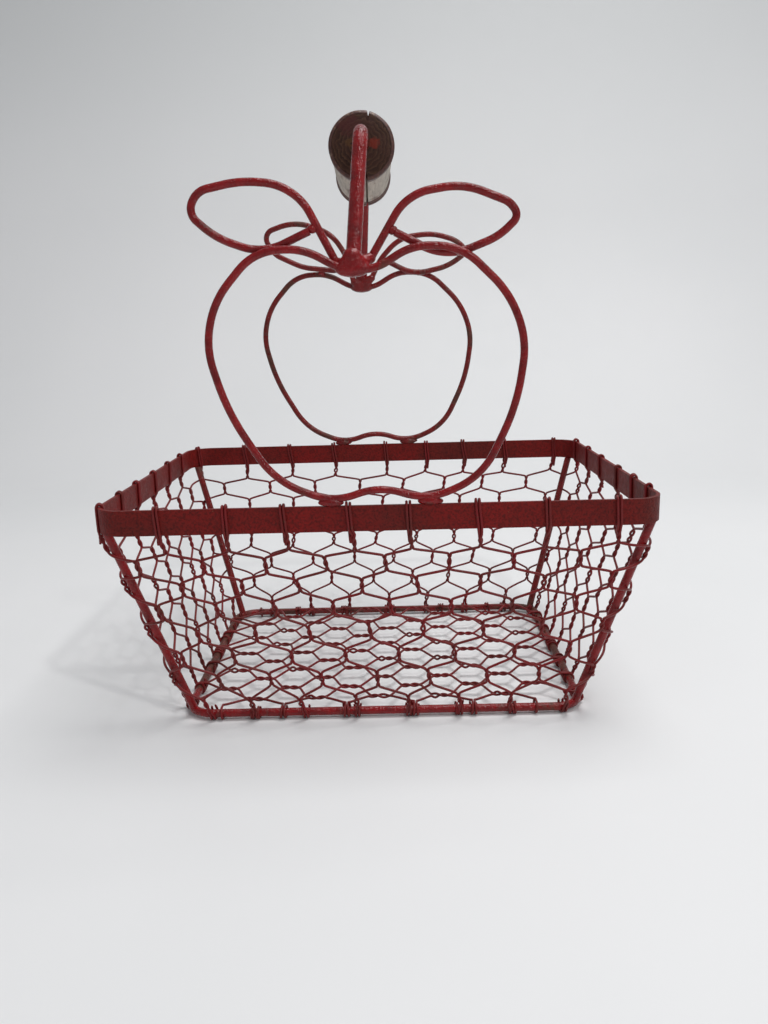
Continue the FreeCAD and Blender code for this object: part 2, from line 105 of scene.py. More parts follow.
GRIP_RADIUS, GRIP_LENGTH, GRIP_SHIFT = 0.015, 0.085, -0.0057
GRIP_BORE, GRIP_SEAM, SEAM_ROLL = 0.00325, 0.0026, math.radians(3.5)
NOTCH_HALF, NOTCH_DEPTH = 0.0006, 0.0022
# Turning of the grip's ends as (depth from the end, radius): edge, bead, groove, bead, groove, barrel.
GRIP_END_TURNING = (
    (0, 0.0136), (0.0004, 0.0144), (0.0012, GRIP_RADIUS), (0.0040, GRIP_RADIUS), (0.0046, 0.0147),
    (0.0051, 0.0142), (0.0058, 0.0142), (0.0064, 0.01455), (0.0074, 0.0147), (0.0084, 0.01455),
    (0.0090, 0.0141), (0.0098, 0.0140), (0.0106, 0.0142), (0.0130, 0.01425),
)
STAINED_DEPTH = 0.0101

# Camera: place, and yaw, pitch down and roll in degrees.
CAMERA_PLACE, CAMERA_ANGLES = (0.00807, -0.44331, 0.18786), (-0.84, 12.89, -1.56)
LENS_MM, SENSOR_MM = 28.71, 36.0
# The paper is painted greyer between these heights: painted shade, where less light reaches the upper
# backdrop.
PAPER_SHADE_HEIGHTS = (0.30, 0.75)
LAMP_TARGET = Vector((0, 0, 0.12))
# The base ring is clean red up to the first Y and rusty from the second.
CLEAN_FRONT_Y = (-0.068, -0.045)


# ---- Rounded rectangles, walked by length from the middle of the front --------------------
def loop_length(length, width, corner):
    return 2 * (length + width) - 8 * corner + 2 * math.pi * corner


def on_loop(length, width, corner, walked):
    """Point and outward normal after walking anticlockwise."""
    runs = (length - 2 * corner, width - 2 * corner)
    quarter = math.pi / 2 * corner
    left = (walked + runs[0] / 2) % loop_length(length, width, corner)
    for side in range(4):
        run, other = runs[side % 2], (width, length)[side % 2]
        turn = Matrix.Rotation(math.pi / 2 * side, 3, "Z")
        if left <= run:
            return turn @ Vector((left - run / 2, -other / 2, 0)), turn @ Vector((0, -1, 0))
        left -= run
        if left <= quarter:
            angle = left / corner
            normal = Vector((math.sin(angle), -math.cos(angle), 0))
            return turn @ (Vector((run / 2, corner - other / 2, 0)) + normal * corner), turn @ normal
        left -= quarter
    return on_loop(length, width, corner, 0)


def walked_to(length, width, corner, side, along):
    runs = (length - 2 * corner, width - 2 * corner)
    quarter = math.pi / 2 * corner
    before = -runs[0] / 2 + sum(runs[s % 2] + quarter for s in range(side))
    return before + runs[side % 2] / 2 + along


def spread_marks(marks):
    values = []
    for (first, low), (last, high) in zip(marks, marks[1:]):
        values += [low + (high - low) * (i - first) / (last - first) for i in range(first, last)]
    return values


RIM_PLACES = [walked_to(*RIM, side, along) for side, row in enumerate(RIM_TIES) for along in row]
BASE_PLACES = spread_marks(BASE_TIE_MARKS)
PAIRS = len(RIM_PLACES)


def place_between(places, full_turn, number):
    low = math.floor(number)

    def place(i):
        return places[i % PAIRS] + full_turn * (i // PAIRS)

    return place(low) + (place(low + 1) - place(low)) * (number - low)


def rim_place(pair):
    return place_between(RIM_PLACES, loop_length(*RIM), pair)


def base_place(pair):
    return place_between(BASE_PLACES, loop_length(*RING), pair - 0.5)


def wall_point(pair, z, along=0.0, out=0.0):
    """A point on the netting wall, or a little along it or out of it."""
    share = (BAND_BOTTOM - z) / (BAND_BOTTOM - RING_Z)

    def between(top, foot):
        return top + (foot - top) * share

    size = [between(top, foot) for top, foot in zip(RIM, RING)]
    point, normal = on_loop(*size, between(rim_place(pair), base_place(pair)) + along)
    point = point + normal * (between(TOUCH, WALL_WRAP) + out)
    return Vector((point.x, point.y, z))


# ---- Wires --------------------------------------------------------------------------------
def luck(*key):
    """The same random draws each run for the same place."""
    return random.Random("/".join(str(part) for part in key))


def wire_object(name, strands, radius, material, body, node):
    """Round wires as one curve object, with a rounded tip at each end."""
    curve = bpy.data.curves.new(name, "CURVE")
    curve.dimensions = "3D"
    curve.bevel_depth = radius
    curve.bevel_resolution = 3
    curve.use_fill_caps = True
    for points in strands:
        spline = curve.splines.new("POLY")
        spline.points.add(len(points) - 1)
        for slot, point in zip(spline.points, points):
            slot.co = (*point, 1)
        for tip in (0, -1):
            spline.points[tip].radius = 0.75
    curve.materials.append(material)
    piece = bpy.data.objects.new(name, curve)
    bpy.context.scene.collection.objects.link(piece)
    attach(piece, body)
    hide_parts(node)


def eased(points, steps=5):
    """A smooth line through the points."""
    line = []
    for i in range(len(points) - 1):
        before, here = points[max(i - 1, 0)], points[i]
        there, after = points[i + 1], points[min(i + 2, len(points) - 1)]
        pull = (there - here).length
        leave = (there - before).normalized() * pull
        arrive = (after - here).normalized() * pull
        for step in range(steps):
            t = step / steps
            line.append(here * (2 * t**3 - 3 * t**2 + 1) + leave * (t**3 - 2 * t**2 + t)
                        + there * (3 * t**2 - 2 * t**3) + arrive * (t**3 - t**2))
    return line + [points[-1]]


def ring_turns(place, advance, start, turns):
    """A wire wound round the base ring. Angle 0 is the ring's outside, and it winds down from there."""
    reach = RING_ROD + TOUCH
    steps = max(4, int(turns * 16))
    line = []
    for step in range(steps + 1):
        angle = start + turns * 2 * math.pi * step / steps
        centre, normal = on_loop(*RING, place + advance * step / steps * turns)
        line.append(Vector((centre.x, centre.y, RING_Z)) + normal * reach * math.cos(angle)
                    - UP * reach * math.sin(angle))
    return line


def cut_end(line, length, lean):
    """A short straight stub that springs off the end of a winding."""
    ahead = (line[-1] - line[-2]).normalized()
    return line + [line[-1] + (ahead + lean).normalized() * length * part for part in (0.5, 1.0)]


def bends(steps, handle):
    """A run from one twist to the next, as (share across, share along): straight, bent at its ends."""
    shares = []
    for step in range(1, steps):
        t = step / steps
        along = 3 * t * (1 - t)**2 * handle + 3 * t * t * (1 - t) * (1 - handle) + t**3
        shares.append((t * t * (3 - 2 * t), along))
    return shares


BENDS = bends(12, 0.17)


# ---- Netting walls ------------------------------------------------------------------------
def row_z(row):
    return FIRST_ROW_Z - ROW_DROP * row - ROW_DROP_GROWTH * row * row


def wall_twist(pair, row, side):
    """The two wires of a twist wind round each other. Returns this wire as (pair, z, along, out)."""
    rnd = luck("wall", pair % PAIRS, row)
    length = WALL_TWIST * rnd.uniform(*WALL_TWIST_SHARES)
    centre_z = row_z(row) + rnd.uniform(-WALL_LIFT_WANDER, WALL_LIFT_WANDER)
    slope = rnd.uniform(-WALL_TWIST_LEAN, WALL_TWIST_LEAN)
    drift = rnd.uniform(-WALL_SIDE_WANDER, WALL_SIDE_WANDER)
    eyelet = rnd.choice(WALL_EYELETS)
    spots = []
    for step in range(TWIST_STEPS + 1):
        t = step / TWIST_STEPS
        reach = TOUCH + eyelet * math.sin(math.pi * t)
        angle = 2 * math.pi * t
        z = centre_z + length * (0.5 - t)
        along = drift + slope * length * (0.5 - t) + side * reach * math.cos(angle)
        spots.append((pair, z, along, side * reach * math.sin(angle)))
    return spots


def wall_slope(last, first):
    """From one twist to the next: a straight run with a short bend at each end."""
    spots = []
    for run, level in BENDS:
        spots.append((last[0] + (first[0] - last[0]) * run, last[1] + (first[1] - last[1]) * level,
                      last[2] + (first[2] - last[2]) * run, last[3] + (first[3] - last[3]) * run))
    return spots


def over_band(pair, side, net_side):
    """Stub, inner leg, over the band and down its outside."""
    rnd = luck("rim", pair, side)
    slant = TIE_SLANT[net_side] + luck("slant", pair).uniform(-SLANT_WANDER, SLANT_WANDER)
    foot = rim_place(pair) + side * RIM_LEG_SPREAD
    head = rim_place(pair) + slant + side * RIM_LEG_SPREAD
    loft = rnd.uniform(*TIE_LOFT)
    outside, inside = TOUCH, -(BAND_THICKNESS + TOUCH)

    def spot(place, out, z):
        edge, normal = on_loop(*RIM, place)
        return Vector((edge.x, edge.y, z)) + normal * out

    mid_place, mid_z = (foot + head) / 2, (BAND_BOTTOM + RIM_TOP) / 2
    tail = [spot(foot - side * 0.0006, 0.0004, BAND_BOTTOM - rnd.uniform(*TIE_TAIL)),
            spot(foot - side * 0.0003, -0.0006, BAND_BOTTOM - 0.0022)]
    inner = [spot(foot, inside, BAND_BOTTOM + 0.001), spot(mid_place, inside, mid_z),
             spot(head, inside, RIM_TOP - 0.0008)]
    top = [spot(head, inside + 0.0003, RIM_TOP + loft * 0.8),
           spot(head, -BAND_THICKNESS / 2, RIM_TOP + TOUCH + loft),
           spot(head, outside - 0.0003, RIM_TOP + loft * 0.8)]
    outer = [spot(head, outside, RIM_TOP - 0.0008), spot(mid_place, outside, mid_z),
             spot(foot, outside, BAND_BOTTOM + 0.001)]
    return eased(tail + inner + top + outer, 4)


def base_tie(pair, side):
    """Down the ring's outside, round it, and a cut end."""
    rnd = luck("base", round(base_place(pair), 4), side)
    turns = rnd.choice(WALL_TIE_TURNS)
    winding = ring_turns(base_place(pair) - side * BASE_LEG_SPREAD, -side * WALL_TIE_PITCH, 0, turns)
    lean = Vector((rnd.uniform(-0.5, 0.5), rnd.uniform(-0.5, 0.5), 0.5))
    return cut_end(winding, rnd.uniform(*WALL_STUB), lean)


def wall_wire(pair, side, net_side):
    line = over_band(pair, side, net_side)
    last = None
    for row in range(WALL_ROWS):
        here = pair + side * 0.5 * (row % 2)
        twist = wall_twist(here, row, side * (1 - 2 * (row % 2)))
        if last:
            line += [wall_point(*spot) for spot in wall_slope(last, twist[0])]
        line += [wall_point(*spot) for spot in twist]
        last = twist[-1]
    tie = base_tie(last[0], side)
    return line + eased([line[-1], line[-1].lerp(tie[0], 0.5), tie[0]], 3)[1:-1] + tie


def wall_netting(net_side, material):
    first = sum(len(row) for row in RIM_TIES[:net_side])
    pairs = range(first, first + len(RIM_TIES[net_side]))
    strands = [wall_wire(pair, side, net_side) for pair in pairs for side in (-1, 1)]
    name = NET_SIDES[net_side]
    wire_object(name + "_wires", strands, WIRE + DIPPED_COAT, material, "basket", name)


# ---- Netting floor ------------------------------------------------------------------------
def floor_x(column, y):
    return FLOOR_SHIFT + FLOOR_PITCH * column - FLOOR_SKEW * (FLOOR_SKEW_Y - y)


def floor_row_y(row):
    return FLOOR_FIRST_Y + FLOOR_ROW_STEP * row


def clear_place(place):
    """A place on the ring moved clear of the wall's ties."""
    full = loop_length(*RING)
    for tie in BASE_PLACES:
        gap = (place - tie + full / 2) % full - full / 2
        if abs(gap) < FLOOR_TIE_GAP:
            return place + math.copysign(FLOOR_TIE_GAP, gap) - gap
    return place


def floor_twist(column, row, side):
    """This wire's part of a twist along X. Side is +1 for the wire on the +Y side."""
    rnd = luck("floor", column, row)
    y = floor_row_y(row) + rnd.uniform(-FLOOR_Y_WANDER, FLOOR_Y_WANDER)
    x = floor_x(column, y) + rnd.uniform(-FLOOR_X_WANDER, FLOOR_X_WANDER)
    length = FLOOR_TWIST * rnd.uniform(*FLOOR_TWIST_SHARES)
    slope = rnd.uniform(*FLOOR_TWIST_LEAN)
    eyelet = rnd.choice(FLOOR_EYELETS)
    line = []
    for step in range(TWIST_STEPS + 1):
        t = step / TWIST_STEPS
        angle = 2 * math.pi * t
        reach = TOUCH + eyelet * max(0.0, math.sin(2 * math.pi * t))
        along = length * (t - 0.5)
        line.append(Vector((x + along, y + slope * along + side * reach * math.cos(angle),
                            FLOOR_Z + TOUCH * 0.3 + side * reach * math.sin(angle))))
    return line


def floor_slope(start, end):
    """Between two twists: a straight run with a short bend at each end."""
    line = []
    for across, along in BENDS:
        line.append(Vector((start.x + (end.x - start.x) * along, start.y + (end.y - start.y) * across,
                            start.z + (end.z - start.z) * across)))
    return line


def floor_tie(place, advance, key):
    """Over the ring from inside, round it and a cut end."""
    rnd = luck("tie", key, round(place, 4))
    centre, normal = on_loop(*RING, place)
    inside = Vector((centre.x, centre.y, FLOOR_Z)) - normal * RING_ROD * 1.8
    winding = ring_turns(place, advance, -math.pi / 2, rnd.choice(FLOOR_TIE_TURNS))
    lean = Vector((rnd.uniform(-0.6, 0.6), rnd.uniform(-0.6, 0.6), 0.8))
    return [inside] + cut_end(winding, rnd.uniform(*FLOOR_STUB), lean)


def tied_wire(start_tie, parts, end_tie):
    line = start_tie[::-1]
    for part in parts + [end_tie]:
        line += floor_slope(line[-1], part[0]) + part
    return line


def long_floor_wire(row):
    even_first = row % 2 == 0
    even_row, odd_row = (row, row + 1) if even_first else (row + 1, row)
    away = 1 if even_first else -1
    parts = []
    for half_step in range(-5, 6):
        odd = half_step % 2
        parts.append(floor_twist(half_step / 2, odd_row if odd else even_row, -away if odd else away))
    even_y = floor_row_y(even_row)
    left = clear_place(walked_to(*RING, 3, -even_y)) - away * TOUCH
    right = clear_place(walked_to(*RING, 1, even_y)) + away * TOUCH
    start_tie = floor_tie(left, -away * FLOOR_TIE_PITCH, "left")
    return tied_wire(start_tie, parts, floor_tie(right, away * FLOOR_TIE_PITCH, "right"))


def short_floor_wire(column, row, ring_side):
    towards = 1 if ring_side == 2 else -1
    ties = []
    for hand in (-1, 1):
        x = floor_x(column + hand / 2, towards * RING[1] / 2)
        x = max(-FLOOR_TIE_LIMIT, min(FLOOR_TIE_LIMIT, x))
        along = x if ring_side == 0 else -x
        place = clear_place(walked_to(*RING, ring_side, along)) + hand * towards * TOUCH
        ties.append(floor_tie(place, hand * towards * FLOOR_TIE_PITCH, "short"))
    return tied_wire(ties[0], [floor_twist(column, row, towards)], ties[1])


def floor_netting(material):
    strands = [long_floor_wire(row) for row in range(FLOOR_ROWS - 1)]
    strands += [short_floor_wire(column, 0, 0) for column in range(-2, 3)]
    strands += [short_floor_wire(step / 2, FLOOR_ROWS - 1, 2) for step in range(-5, 6, 2)]
    wire_object("floor_netting_wires", strands, WIRE + DIPPED_COAT, material, "basket", "floor_netting")


# ---- Welds --------------------------------------------------------------------------------
def weld_blob(name, lumps, material, node, grain, smoothing):
    """Run-together lumps of weld metal with a lumpy skin. A lump is (centre, (rx, ry, rz))."""
    mesh = bpy.data.meshes.new(name)
    form = bmesh.new()
    for centre, radii in lumps:
        place = Matrix.Translation(centre) @ Matrix.Diagonal((*radii, 1))
        bmesh.ops.create_icosphere(form, subdivisions=3, radius=1, matrix=place)
    form.to_mesh(mesh)
    form.free()
    piece = bpy.data.objects.new(name, mesh)
    bpy.context.scene.collection.objects.link(piece)
    remesh = piece.modifiers.new("Remesh", "REMESH")
    remesh.mode = "VOXEL"
    remesh.voxel_size = WELD_VOXEL
    smooth = piece.modifiers.new("Smooth", "SMOOTH")
    smooth.factor = 0.5
    smooth.iterations = smoothing
    seen = piece.evaluated_get(bpy.context.evaluated_depsgraph_get())
    piece.data = bpy.data.meshes.new_from_object(seen)
    piece.modifiers.clear()
    for vertex in piece.data.vertices:
        bump = noise.fractal(vertex.co * 320, 0.8, 2.0, 3) * grain
        vertex.co += vertex.normal * bump
    piece.data.shade_smooth()
    piece.data.materials.clear()
    piece.data.materials.append(material)
    piece.name = name
    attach(piece, "basket")
    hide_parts(node)


def middle_of(node):
    low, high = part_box(node)
    return (low + high) / 2, (high - low) / 2


def stem_weld(end, material):
    """The big blob where the handle's foot, the apple's dip and the leaf stems meet."""
    centre, half = middle_of(end + "_stem_weld")
    rise = half.z
    shapes = [(0.0, 0.0, -0.05, 1.55, 0.80, 0.72), (0.0, 0.0, 0.45, 1.15, 0.84, 0.70),
              (0.0, 0.0, 1.0, 0.84, 0.82, 0.70)]
    for x, y, z in LEAF_STEM_ENDS[end]:
        shapes += [(x, y, z, 0.46, 0.46, 0.50), (x * 0.72, y * 0.72, z * 0.74, 0.56, 0.56, 0.56),
                   (x * 0.45, y * 0.45, z * 0.5, 0.68, 0.66, 0.62)]
    lumps = [(centre + Vector((x, y, z)) * rise, (rx * rise, ry * rise, rz * rise))
             for x, y, z, rx, ry, rz in shapes]
    weld_blob(end + "_stem_bead", lumps, material, end + "_stem_weld", 0.00007, 26)


def loose_parts(node):
    """Boxes of the separate solids of a node, as (middle, half size)."""
    form = bmesh.new()
    form.from_mesh(frame["nodes"][node].data)
    bmesh.ops.remove_doubles(form, verts=form.verts, dist=1e-6)
    left, boxes = set(form.verts), []
    while left:
        found, queue = [], [left.pop()]
        while queue:
            vertex = queue.pop()
            found.append(vertex.co.copy())
            for edge in vertex.link_edges:
                other = edge.other_vert(vertex)
                if other in left:
                    left.remove(other)
                    queue.append(other)
        low = Vector([min(p[i] for p in found) for i in range(3)])
        high = Vector([max(p[i] for p in found) for i in range(3)])
        boxes.append(((low + high) / 2, (high - low) / 2))
    form.free()
    return sorted(boxes, key=lambda item: tuple(item[0]))


def small_welds(node, name, spread, material):
    """Beads on a node's welds. Spread is each bead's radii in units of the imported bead's half size."""
    lumps = []
    for centre, half in loose_parts(node):
        rnd = luck(name, round(centre.x, 3))
        size = max(half)
        wide, deep, tall = (size * share for share in spread)
        lumps.append((centre, (wide, deep, tall)))
        for hand in (-1, 1):
            shift = Vector((hand * wide * rnd.uniform(0.35, 0.6), 0, rnd.uniform(-0.3, 0.2) * tall))
            lumps.append((centre + shift, (wide * 0.7, deep * 0.8, tall * 0.75)))
    weld_blob(name, lumps, material, node, 0.0002, 8)


# ---- Wooden grip --------------------------------------------------------------------------
def grip_profile():
    """Stations along the turned grip as (place, radius)."""
    half = GRIP_LENGTH / 2
    end = [(half - depth, radius) for depth, radius in GRIP_END_TURNING]
    barrel_depth, barrel_radius = GRIP_END_TURNING[-1]
    barrel = GRIP_LENGTH - 2 * barrel_depth
    middle = [(half - barrel_depth - barrel * i / 14, barrel_radius) for i in range(1, 14)]
    return end + middle + [(-place, radius) for place, radius in reversed(end)]


def grip_section(radius, right):
    """Outline of one glued piece at a station, as (x, z)."""
    seam, notch = GRIP_SEAM, NOTCH_HALF
    sign = 1 if right else -1
    edge = seam + sign * notch
    start = math.acos(edge / radius)
    sweep = start * 2 if right else 2 * math.pi - 2 * start
    count = 30 if right else 42
    outer = []
    for i in range(count + 1):
        angle = start - sweep * i / count if right else start + sweep * i / count
        outer.append((radius * math.cos(angle), radius * math.sin(angle)))
    foot = math.sqrt(radius**2 - seam**2) - NOTCH_DEPTH
    hole = math.acos(seam / GRIP_BORE)
    hole_sweep = hole * 2 if right else 2 * math.pi - 2 * hole
    bore = []
    for i in range(19):
        angle = -hole + hole_sweep * i / 18 if right else -hole - hole_sweep * i / 18
        bore.append((GRIP_BORE * math.cos(angle), GRIP_BORE * math.sin(angle)))
    return [(seam, foot)] + outer + [(seam, -foot)] + bore


def grip_piece(name, node, right, materials):
    """One glued piece of the grip, with its sides a little uneven."""
    form = bmesh.new()
    stations, rows = grip_profile(), []
    for place, radius in stations:
        row = []
        for x, z in grip_section(radius, right):
            on_skin = math.hypot(x, z) > radius - 1e-5
            dent = noise.noise(Vector((x * 160, place * 60, z * 160))) * 0.00018 if on_skin else 0
            scale = 1 + dent / radius
            row.append(form.verts.new((x * scale, place, z * scale)))
        rows.append(row)
    count = len(rows[0])
    for i in range(len(rows) - 1):
        depth = GRIP_LENGTH / 2 - abs((stations[i][0] + stations[i + 1][0]) / 2)
        for j in range(count):
            k = (j + 1) % count
            face = form.faces.new((rows[i][j], rows[i][k], rows[i + 1][k], rows[i + 1][j]))
            face.material_index = 1 if depth < STAINED_DEPTH else 2
    for row in (rows[0], rows[-1]):
        form.faces.new(row).material_index = 0
    bmesh.ops.recalc_face_normals(form, faces=form.faces)
    mesh = bpy.data.meshes.new(name)
    form.to_mesh(mesh)
    form.free()
    mesh.shade_smooth()
    mesh.set_sharp_from_angle(angle=math.radians(40))
    for material in materials:
        mesh.materials.append(material)
    piece = bpy.data.objects.new(name, mesh)
    bpy.context.scene.collection.objects.link(piece)
    middle = Vector(frame["joints"][0]["pos_m"])
    turn = Vector((0, 1, 0)).rotation_difference(AXIS).to_matrix() @ Matrix.Rotation(SEAM_ROLL, 3, "Y")
    piece.matrix_world = Matrix.Translation(middle + AXIS * GRIP_SHIFT) @ turn.to_4x4()
    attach(piece, "grip")
    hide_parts(node)


# ---- Materials ----------------------------------------------------------------------------
class Paint:
    """A material's nodes, added one by one."""

    def __init__(self, name):
        self.material = bpy.data.materials.new(name)
        self.material.use_nodes = True
        self.tree = self.material.node_tree
        self.shader = self.tree.nodes["Principled BSDF"]
        self.place = self.add("ShaderNodeTexCoord").outputs["Object"]

    def add(self, kind, **settings):
        node = self.tree.nodes.new(kind)
        for key, value in settings.items():
            setattr(node, key, value)
        return node

    def link(self, source, target):
        self.tree.links.new(source, target)

    def stretched(self, scale):
        mapping = self.add("ShaderNodeMapping")
        mapping.inputs["Scale"].default_value = scale
        self.link(self.place, mapping.inputs["Vector"])
        return mapping.outputs["Vector"]

    def noise(self, scale, detail=3.0, rough=0.5, where=None):
        node = self.add("ShaderNodeTexNoise")
        node.inputs["Scale"].default_value = scale
        node.inputs["Detail"].default_value = detail
        node.inputs["Roughness"].default_value = rough
        self.link(where or self.place, node.inputs["Vector"])
        return node.outputs["Fac"]

    def darker_behind(self, value, share):
        """The value less a share that grows from the basket's front to its middle."""
        split = self.add("ShaderNodeSeparateXYZ")
        self.link(self.place, split.inputs[0])
        reach = self.add("ShaderNodeMapRange")
        reach.inputs["From Min"].default_value, reach.inputs["From Max"].default_value = CLEAN_FRONT_Y
        reach.inputs["To Max"].default_value = share
        self.link(split.outputs["Y"], reach.inputs["Value"])
        less = self.add("ShaderNodeMath", operation="SUBTRACT")
        self.link(value, less.inputs[0])
        self.link(reach.outputs["Result"], less.inputs[1])
        return less.outputs[0]

    def smear(self, centre, reach):
        """1 near a place and ragged towards its edge."""
        away = self.add("ShaderNodeVectorMath", operation="DISTANCE")
        self.link(self.place, away.inputs[0])
        away.inputs[1].default_value = centre
        ragged = self.add("ShaderNodeMath", operation="MULTIPLY_ADD")
        self.link(self.noise(420, 4, 0.65), ragged.inputs[0])
        ragged.inputs[1].default_value = reach * 1.6
        self.link(away.outputs["Value"], ragged.inputs[2])
        near = self.add("ShaderNodeMapRange")
        near.inputs["From Min"].default_value = reach * 1.25
        near.inputs["From Max"].default_value = reach * 1.6
        near.inputs["To Min"].default_value = 0.65
        near.inputs["To Max"].default_value = 0.0
        self.link(ragged.outputs[0], near.inputs["Value"])
        return near.outputs["Result"]

    def ramp(self, value, *stops):
        node = self.add("ShaderNodeValToRGB")
        elements = node.color_ramp.elements
        while len(elements) < len(stops):
            elements.new(0.5)
        for element, (position, colour) in zip(elements, stops):
            element.position = position
            element.color = (*colour, 1) if len(colour) == 3 else colour
        self.link(value, node.inputs["Fac"])
        return node.outputs["Color"]

    def grey(self, value, *stops):
        return self.ramp(value, *((position, (level,) * 3) for position, level in stops))

    def mix(self, amount, first, second):
        node = self.add("ShaderNodeMix", data_type="RGBA")
        sockets = {"Factor": node.inputs[0], "A": node.inputs[6], "B": node.inputs[7]}
        for key, value in (("Factor", amount), ("A", first), ("B", second)):
            if isinstance(value, (float, int)):
                sockets[key].default_value = value
            elif isinstance(value, tuple):
                sockets[key].default_value = (*value, 1)
            else:
                self.link(value, sockets[key])
        return node.outputs[2]

    def bump(self, height, strength, distance):
        node = self.add("ShaderNodeBump")
        node.inputs["Strength"].default_value = strength
        node.inputs["Distance"].default_value = distance
        self.link(height, node.inputs["Height"])
        self.link(node.outputs["Normal"], self.shader.inputs["Normal"])

    def finish(self, colour, roughness):
        self.link(colour, self.shader.inputs["Base Color"])
        self.link(roughness, self.shader.inputs["Roughness"])
        return self.material


def rod_paint(name, red, rust_share, behind=0.0):
    """Thick brushed enamel with grit under it, worn to rusty brown in patches, more so further back, with
    pale specks painted in as speckled highlights.
    """
    paint = Paint(name)
    grit = paint.noise(620, 3, 0.55)
    patches = paint.noise(55, 5, 0.65)
    if behind:
        patches = paint.darker_behind(patches, behind)
    deep = tuple(level * 0.55 for level in red)
    enamel = paint.mix(paint.grey(paint.noise(160, 4), (0.35, 0.0), (0.7, 1.0)), red, deep)
    rust = paint.ramp(paint.noise(420, 5, 0.7), (0.3, (0.050, 0.012, 0.008)), (0.7, (0.140, 0.040, 0.024)))
    worn = paint.grey(patches, (rust_share, 1.0), (rust_share + 0.09, 0.0))
    colour = paint.mix(worn, enamel, rust)
    # Pale cream specks mixed into the colour: painted speckled highlights.
    highlight_specks = paint.grey(paint.noise(1500, 2, 0.5), (0.70, 0.0), (0.76, 0.35))
    colour = paint.mix(highlight_specks, colour, (0.42, 0.17, 0.13))
    roughness = paint.grey(patches, (rust_share, 0.55), (rust_share + 0.1, 0.15))
    paint.shader.inputs["Specular IOR Level"].default_value = 0.36
    paint.bump(grit, 0.85, 0.0008)
    return paint.finish(colour, roughness)


def band_paint():
    """Satin enamel with a fine pebbled skin on the rim band, browner in patches, with painted shade in the
    pits of the skin.
    """
    paint = Paint("band_paint_satin")
    tone = paint.grey(paint.noise(38, 5, 0.6), (0.3, 0.0), (0.72, 1.0))
    colour = paint.mix(tone, (0.220, 0.0085, 0.0072), (0.145, 0.0090, 0.0068))
    brown = paint.grey(paint.noise(14, 4, 0.6), (0.50, 0.0), (0.66, 0.75))
    colour = paint.mix(brown, colour, (0.105, 0.013, 0.009))
    grain = paint.noise(950, 3, 0.6)
    # The low points of the pebbled grain are painted darker: painted shade in the pits.
    colour = paint.mix(paint.grey(grain, (0.36, 0.65), (0.56, 0.0)), colour, (0.045, 0.0045, 0.0040))
    speck = paint.grey(paint.noise(620, 2, 0.5), (0.735, 0.0), (0.765, 1.0))
    colour = paint.mix(speck, colour, (0.16, 0.07, 0.03))
    roughness = paint.grey(paint.noise(240, 4), (0.3, 0.44), (0.7, 0.58))
    paint.shader.inputs["Specular IOR Level"].default_value = 0.18
    paint.bump(grain, 0.8, 0.0005)
    return paint.finish(colour, roughness)


def netting_paint():
    """Dark red dipped paint on thin wire, browner in places."""
    paint = Paint("netting_paint_dark")
    tone = paint.grey(paint.noise(45, 5, 0.6), (0.38, 0.0), (0.66, 1.0))
    colour = paint.mix(tone, (0.190, 0.0080, 0.0100), (0.120, 0.014, 0.011))
    worn = paint.grey(paint.noise(300, 4, 0.6), (0.64, 0.0), (0.72, 1.0))
    colour = paint.mix(worn, colour, (0.115, 0.034, 0.020))
    roughness = paint.grey(paint.noise(700, 3), (0.3, 0.30), (0.7, 0.50))
    paint.shader.inputs["Specular IOR Level"].default_value = 0.28
    paint.bump(paint.noise(1600, 3, 0.6), 0.45, 0.0002)
    return paint.finish(colour, roughness)


def end_grain():
    """Dark stained end grain with rings, checks and smears of red and ochre paint."""
    paint = Paint("grip_end_grain")
    rings = paint.add("ShaderNodeTexWave", wave_type="RINGS", rings_direction="Y", wave_profile="SAW")
    rings.inputs["Scale"].default_value = 170
    rings.inputs["Distortion"].default_value = 7.0
    rings.inputs["Detail"].default_value = 4
    rings.inputs["Detail Scale"].default_value = 2.0
    paint.link(paint.stretched((1.0, 0.25, 1.0)), rings.inputs["Vector"])
    wood = paint.ramp(rings.outputs["Fac"], (0.0, (0.026, 0.010, 0.007)), (0.6, (0.050, 0.021, 0.012)),
                      (1.0, (0.082, 0.040, 0.022)))
    blotch = paint.grey(paint.noise(110, 4, 0.6), (0.42, 0.0), (0.62, 0.6))
    wood = paint.mix(blotch, wood, (0.058, 0.022, 0.016))
    for x, z, reach, tint in ((-0.0060, 0.0085, 0.0075, (0.078, 0.017, 0.017)),
                              (0.0056, 0.0012, 0.0034, (0.23, 0.024, 0.012)),
                              (-0.0052, 0.0008, 0.0032, (0.105, 0.048, 0.016))):
        wood = paint.mix(paint.smear((x, -GRIP_LENGTH / 2, z), reach), wood, tint)
    fibres = paint.noise(2200, 3, 0.7)
    wood = paint.mix(paint.grey(fibres, (0.60, 0.0), (0.72, 0.7)), wood, (0.120, 0.075, 0.052))
    cracks = paint.noise(150, 2, 0.5, paint.stretched((1.0, 0.3, 3.4)))
    checks = paint.grey(cracks, (0.305, 1.0), (0.345, 0.0))
    colour = paint.mix(checks, wood, (0.010, 0.004, 0.004))
    paint.shader.inputs["Specular IOR Level"].default_value = 0.2
    paint.bump(paint.mix(0.5, rings.outputs["Fac"], checks), 0.6, 0.0004)
    return paint.finish(colour, paint.grey(fibres, (0.3, 0.42), (0.7, 0.68)))


